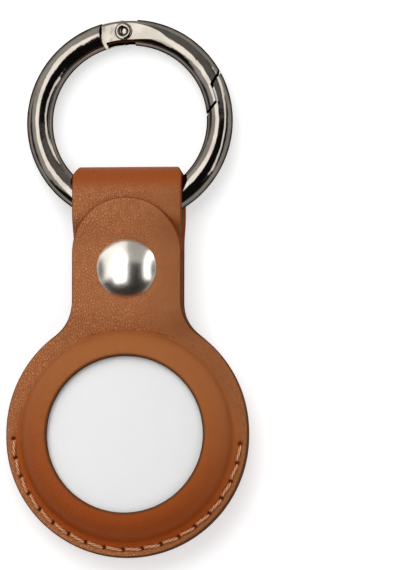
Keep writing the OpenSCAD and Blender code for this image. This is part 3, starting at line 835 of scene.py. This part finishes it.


# %% [markdown]
# Where the leather is stretched over the tag the grain is nearly gone, and the colour is deeper. On
# top of that, painted light makes it lighter towards the top and painted shade makes it darker
# towards the bottom. A band at the foot of the wall is painted lighter, to lift the shade in its
# groove. The window's edge is burnt dark, as a cutter leaves it.


# %% Colour of the moulded leather
LIGHTER_UP_POCKET_Y, DIMMER_ON_LOOP_Y = (-24, 22), (34, 39)
FOOT_LIGHT_STARTS, FOOT_LIGHT_ENDS = (16.0, 17.2), (17.9, 18.9)
BURN = (WINDOW_R + 0.25, WINDOW_R + 0.6)


def moulded_colour(flat, x, y, mottle, pulled, stretched, edge_paint):
    """Colour of the stretched leather by height on the holder and distance from the window, with
    painted light towards the top, painted shade towards the bottom and a painted lighter band at the
    wall's foot.
    """
    radius = flat.stretch(1, 1, 0).length()
    # Painted light and shade: lighter towards the top and a little to the right, dimmer on the loop,
    # darker towards the bottom.
    lit_towards_top = (y + x * 0.15).step(*LIGHTER_UP_POCKET_Y) * (1 - y.step(*DIMMER_ON_LOOP_Y) * 0.65)
    # A band at the wall's foot is painted lighter, to lift the shade that falls in its groove.
    foot = radius.step(*FOOT_LIGHT_STARTS) * (1 - radius.step(*FOOT_LIGHT_ENDS))
    burnt = 1 - radius.step(*BURN)
    deep_and_lit_foot = foot.mix(tint(stretched, 0.9), tint(stretched, 1.08))
    smooth = (mottle * 0.2 + lit_towards_top * 0.8).step(0.1, 0.9).mix(deep_and_lit_foot, tint(pulled, 0.8))
    return (burnt * 0.9).mix(smooth, tint(edge_paint, 1.2))


# %% [markdown]
# The painted edges are dark too, and on the tongue's end and the loop they are painted lighter, as
# painted light where the light from above falls on them.
# The back of the sheet, which shows when the tongue is lifted, is matt and fibrous. So the leather
# is four shaders, and the values on the mesh say where each of them shows.


# %% Leather
LIT_EDGE_Y, FLESH_SIDE = (28, 32), (1.4, 2.4)
PEBBLES_M, FAINT_PEBBLES_M, FIBRES_M = 0.0002, 0.00004, 0.00006


def leather(name, grained, pulled, stretched, edge_paint, lining):
    """Pebbled leather, smooth and deeper where moulded, with painted edges and a matt back."""
    material, place = start_material(name)
    flat = place.attribute("flat", "Vector")
    painted, moulded, pierced = [place.attribute(key) for key in ("painted", "moulded", "pierced")]
    x, y, depth = flat.parts()
    mottle = flat.noise(0.22, 3.0, 0.55) * 0.6 + flat.noise(1.1) * 0.4
    crease, pebbles = grain_relief(flat, x)
    # Painted shade: the needle holes are coloured dark, as shade falls in them.
    hole, hole_shade = pierced.step(0.1, 0.7), tint(stretched, 0.36)
    grain = hole.mix(grained_colour(x, mottle, crease, grained, pulled, stretched), hole_shade)
    smooth = moulded_colour(flat, x, y, mottle, pulled, stretched, edge_paint)
    rough = 0.42 + mottle * 0.15
    pebbled = place.principled(Base_Color=grain, Roughness=rough, Specular_IOR_Level=0.24,
                               Normal=place.bump(pebbles, PEBBLES_M))
    polished = place.principled(Base_Color=hole.mix(smooth, hole_shade), Roughness=rough,
                                Specular_IOR_Level=0.09,
                                Normal=place.bump(pebbles, FAINT_PEBBLES_M))
    # Edges past the neck are painted lighter, as painted light from above; elsewhere they keep the
    # dark edge paint.
    edge = y.step(*LIT_EDGE_Y).mix(tint(edge_paint), tint(stretched, 0.6))
    paint = place.principled(Base_Color=edge, Roughness=0.8, Specular_IOR_Level=0.08)
    fibres = flat.stretch(2.0, 5.0, 1.0).noise(1.6, 4.0, 0.7)
    flesh_colour = fibres.step(0.3, 0.7).mix(tint(lining, 0.8), tint(lining, 1.15))
    flesh = place.principled(Base_Color=flesh_colour, Roughness=0.95, Specular_IOR_Level=0.1,
                             Normal=place.bump(fibres, FIBRES_M))
    skin = (moulded * 0.9).blend(pebbled, polished)
    skin = depth.step(*FLESH_SIDE).blend(skin, flesh)
    return finish_material(material, painted.step(0.35, 0.85).blend(skin, paint))


tan = leather("tan_leather", "B17146", "B06A38", "96400B", "4E2C12", "9A6A44")
for piece in (front_leather, back_leather, folded_leg):
    piece.data.materials.append(tan)

# %% [markdown]
# ## Thread
#
# Waxed thread has painted shade in the valleys between its strands and painted light on their
# crests. The lobes' height is kept on the mesh, so the colour follows the twist itself, where a
# striped texture would only seem to.


# %% Thread
def waxed_thread():
    """Thread with painted shade in the valleys between its strands and painted light on their
    crests.
    """
    material, place = start_material("waxed_thread")
    lobes = place.attribute("lobes")
    fibre = place.noise(9.0, 2.0)
    # Painted light on the strands' crests and painted shade between them, with random tone from the
    # fibre noise.
    lit_crest = (lobes * 0.35 + fibre * 0.5 + 0.25).step(0.2, 0.9)
    colour = lit_crest.mix(tint("A5673F"), tint("E0A57A"))
    return finish_material(material, place.principled(
        Base_Color=colour, Roughness=0.62, Normal=place.bump(fibre, 0.00002)))


thread.data.materials.append(waxed_thread())

# %% [markdown]
# ## Metals
#
# Satin nickel is blasted fine, so its shine is soft. The ring's black nickel is polished and
# slightly wavy, so it mirrors the studio's panels as bright lines that aren't quite even, and its
# reflection is darker at a flat angle. One function makes every metal, because they differ in
# numbers only.


# %% Metals
def plated(name, light, dark, roughness, scratch, grain, edge=(1, 1, 1, 1), wave=0.0):
    """Plated or bare metal: a slow change of tone, fine scratches in the gloss, bumps and waves."""
    material, place = start_material(name)
    cloud = place.noise(0.35, 2.0)
    lines = place.stretch(1.0, 12.0, 3.0).noise(scratch, 2.0, 0.6)
    colour = cloud.step(0.3, 0.7).mix(tint(dark), tint(light))
    rough = roughness * 0.8 + lines * (roughness * 0.5)
    return finish_material(material, place.principled(
        Base_Color=colour, Metallic=1.0, Roughness=rough, Specular_Tint=edge,
        Normal=place.bump(lines + cloud * wave, grain)))


satin_nickel = plated("satin_nickel", "E2DDD3", "D8D3C9", 0.24, 9.0, 0.0000003)
black_nickel = plated("black_nickel", "77716A", "6B665F", 0.09, 0.8, 0.0000008, (0, 0, 0, 1), 110.0)
snap_metal = plated("snap_metal", "8E8B86", "85827D", 0.36, 9.0, 0.0000003)
spring_wire = plated("spring_wire", "C9C7C4", "AFADA9", 0.22, 3.0, 0.000002)
steel = plated("polished_steel", "CBCBCB", "C5C5C5", 0.16, 1.2, 0.000002)
gold = plated("gold_plate", "E2BE6A", "CFA651", 0.2, 1.2, 0.000002)
copper = plated("enamelled_copper", "C9743F", "A9582C", 0.3, 6.0, 0.00001)
magnet = plated("magnet", "77777A", "5F5F62", 0.4, 1.0, 0.000004)

# %% [markdown]
# ## The tag
#
# The tag is a plain white shell of moulded plastic with a fine skin, and inside it is a board with
# solder mask over its tracks. Only the shell and the metal cover show while the holder is whole, so
# the patterns inside are simple.


# %% Plastics and the board
def moulded_plastic(name, light, dark, roughness, grain):
    """Moulded plastic: almost even in colour, with a fine skin."""
    material, place = start_material(name)
    cloud = place.noise(0.25, 2.0)
    skin = place.noise(6.0, 2.0)
    return finish_material(material, place.principled(
        Base_Color=cloud.mix(tint(dark), tint(light)), Roughness=roughness + skin * 0.05,
        Normal=place.bump(skin, grain)))


def circuit_board():
    """Green solder mask with paler tracks."""
    material, place = start_material("circuit_board")
    tracks = place.cells(0.9).step(0.05, 0.09)
    return finish_material(material, place.principled(
        Base_Color=tracks.mix(tint("2C6E48"), tint("164A2C")), Roughness=0.38,
        Normal=place.bump(1 - tracks, 0.00003)))


white_plastic = moulded_plastic("white_plastic", "E9E9E9", "E5E5E5", 0.32, 0.000001)
inner_plastic = moulded_plastic("inner_plastic", "D2D2CF", "C6C6C2", 0.5, 0.000006)

# %% [markdown]
# ## Finishes on the frame's own nodes
#
# Hard pieces whose solid is already right keep their mesh, and only get a material. A table says
# which, and the cap and the rivet that were turned above get theirs after it.

# %% Finishes on the frame's own nodes
FINISHES = {
    "snap_socket": snap_metal, "snap_spring": spring_wire, "snap_stud": snap_metal,
    "snap_post": snap_metal, "ring_body": black_nickel, "ring_gate": black_nickel,
    "gate_spring": spring_wire, "tag_shell": white_plastic, "tag_frame": inner_plastic,
    "tag_board": circuit_board(), "tag_magnet": magnet, "tag_voice_coil": copper,
    "tag_battery": steel, "tag_contacts": gold, "tag_cover": steel,
    "tag_cover_liner": inner_plastic}
for node, material in FINISHES.items():
    mesh = frame["nodes"][node].data
    mesh.materials.clear()
    mesh.materials.append(material)
snap_cap.data.materials.append(satin_nickel)
rivet.data.materials.append(black_nickel)
print(len(FINISHES), "nodes finished")

# %% [markdown]
# ## Floor
#
# The holder lies on a pale floor. The camera sees the floor lifted to white, by light that only
# camera, mirror and glass rays see, and the shadow stays. Stronger lamps would whiten it as well,
# but they would bleach the tag with it.

# %% Floor
FLOOR_HALF, FLOOR_UNDER, FLOOR_GLOW = 900, 0.02, 0.4


def ray_kinds(wire):
    """Three wires that are 1 for camera rays, for mirror rays and for glass rays."""
    ray = wire.tree.nodes.new("ShaderNodeLightPath")
    return [Wire(wire.tree, ray.outputs[k])
            for k in ("Is Camera Ray", "Is Glossy Ray", "Is Transmission Ray")]


def sees_background(wire):
    """1 for rays that should see the white background."""
    camera_ray, glossy_ray, glass_ray = ray_kinds(wire)
    return wire.math("MINIMUM", camera_ray + glossy_ray + glass_ray, 1.0)


def pale_floor():
    """Matt floor with a little extra white for the rays that see the background."""
    material, place = start_material("pale_floor")
    cloud = place.noise(0.004, 2.0)
    pale = cloud.mix(tint("EFEFEF"), tint("F2F2F2"))
    diffuse = place.node("ShaderNodeBsdfDiffuse", {}, {"Color": pale})
    strength = sees_background(place) * FLOOR_GLOW
    glow = place.node("ShaderNodeEmission", {}, {"Color": (1, 1, 1, 1), "Strength": strength})
    return finish_material(material, place.node("ShaderNodeAddShader", {}, {0: diffuse, 1: glow}))


floor_y, floor_x = np.meshgrid([-FLOOR_HALF, FLOOR_HALF], [-FLOOR_HALF, FLOOR_HALF], indexing="ij")
floor = surface("floor", np.stack([floor_x, floor_y, np.full((2, 2), -FLOOR_UNDER)], axis=-1))
floor.data.materials.append(pale_floor())

# %% [markdown]
# ## World
#
# Polished metal is nothing without a room to mirror. Real studios hang white panels with dark gaps,
# and mirror rays see such panels here, above a band of light at the horizon that is brighter on the
# right. Lamps could be mirrored instead, but then a highlight couldn't be moved without moving the
# light. Matt surfaces see an even, softer sky, and the camera sees plain white.

# %% World
AMBIENT, GAP = 0.42, 0.02
PANELS = (
    (1.35, (-0.92, -0.06), (-0.4, 1.1), 0.06),
    (3.4, (-0.56, -0.06), (-0.6, 0.6), 0.05),
    (3.8, (0.73, 0.88), (-0.4, 0.85), 0.04),
    (0.45, (-0.06, 0.66), (0.28, 1.1), 0.1))


def panel(x, y, x_range, y_range, soft):
    """A soft-edged panel in the sky, in the x and y parts of the direction."""
    def between(value, low, high):
        return value.step(low - soft, low + soft) * (1 - value.step(high - soft, high + soft))

    return between(x, *x_range) * between(y, *y_range)


world = bpy.data.worlds.new("studio")
bpy.context.scene.world = world
world.use_nodes = True
tree = world.node_tree
tree.nodes.clear()
look = Wire(tree, tree.nodes.new("ShaderNodeTexCoord").outputs["Generated"])
east, north, height = look.parts()
mirrored = GAP
for power, x_range, y_range, soft in PANELS:
    mirrored = mirrored + power * panel(east, north, x_range, y_range, soft)
mirrored = mirrored + (east.step(-0.4, 0.5) * 0.6 + 0.15) * (1 - height.step(0.02, 0.22))
camera_ray, glossy_ray, glass_ray = ray_kinds(look)
matt_ray = (1 - camera_ray) * (1 - glossy_ray) * (1 - glass_ray)
strength = AMBIENT * matt_ray + camera_ray + glass_ray + glossy_ray * mirrored
sky = look.node("ShaderNodeBackground", {}, {"Color": (1, 1, 1, 1), "Strength": strength})
tree.links.new(sky.socket, tree.nodes.new("ShaderNodeOutputWorld").inputs["Surface"])
print("world:", len(PANELS), "panels,", len(tree.nodes), "nodes")

# %% [markdown]
# ## Lamps
#
# A large soft key lamp hangs above the ring's end, a little to the left, and rounds the pocket's
# wall and the strap. A weaker one on the other side fills the shadows. Small lamps would draw hard
# shadows, which the photograph doesn't have.


# %% Lamps
def soft_lamp(name, place, target, size, power):
    """A square soft lamp that mirror rays don't see, because the world has the panels."""
    light = bpy.data.lights.new(name, "AREA")
    light.shape, light.size, light.energy = "SQUARE", size, power
    lamp = bpy.data.objects.new(name, light)
    lamp.location = place
    aim = Vector(target) - Vector(place)
    lamp.rotation_euler = aim.to_track_quat("-Z", "Y").to_euler()
    lamp.visible_glossy = False
    bpy.context.scene.collection.objects.link(lamp)
    print(name, "lamp", power, "W")


middle = (0, 0.025, 0.005)
soft_lamp("key", (-0.18, 0.42, 0.64), middle, 0.7, 3.6)
soft_lamp("fill", (0.35, -0.25, 0.6), middle, 0.5, 0.9)

# %% [markdown]
# ## Camera
#
# The photograph is taken from nearly straight above and from far off. So the scale is one number,
# pixels for each millimetre, and one point fixes the place: the pixel where the pocket's centre
# lies. The camera stands a little to the right and towards the pocket's end, and ROLL_SHARE says
# how far it rolls with that lean.

# %% Camera
PIXELS_PER_MM = 6.05
FRAME_PIXELS = np.array([400, 570])
ORIGIN_PIXEL = np.array([128.1, 435.8])
LEAN = np.array([0.105, -0.09])
ROLL_SHARE = 0.3
DISTANCE = 3.0
centre = (FRAME_PIXELS / 2 - ORIGIN_PIXEL) * [1, -1] / PIXELS_PER_MM
toward = Vector((*LEAN, 1)).normalized()
target = Vector((centre[0], centre[1], SEAM_Z)) * MM
right = Vector((0, 1, 0)).cross(toward).normalized()
level = Vector((1, 0, 0)) - toward * toward.x
right = (right * (1 - ROLL_SHARE) + level.normalized() * ROLL_SHARE).normalized()
up = toward.cross(right)
camera_data = bpy.data.cameras.new("camera")
camera = bpy.data.objects.new("camera", camera_data)
bpy.context.scene.collection.objects.link(camera)
turned_to = Matrix((right, up, toward)).transposed().to_4x4()
camera.matrix_world = Matrix.Translation(target + toward * DISTANCE) @ turned_to
seen_height = FRAME_PIXELS[1] / PIXELS_PER_MM * MM * toward.z**0.5
camera_data.lens = camera_data.sensor_width * DISTANCE / seen_height
camera_data.clip_start, camera_data.clip_end = 0.01, 10.0
bpy.context.scene.camera = camera
bpy.context.scene.view_settings.view_transform = "Standard"
print("lens", round(camera_data.lens, 1), "mm")
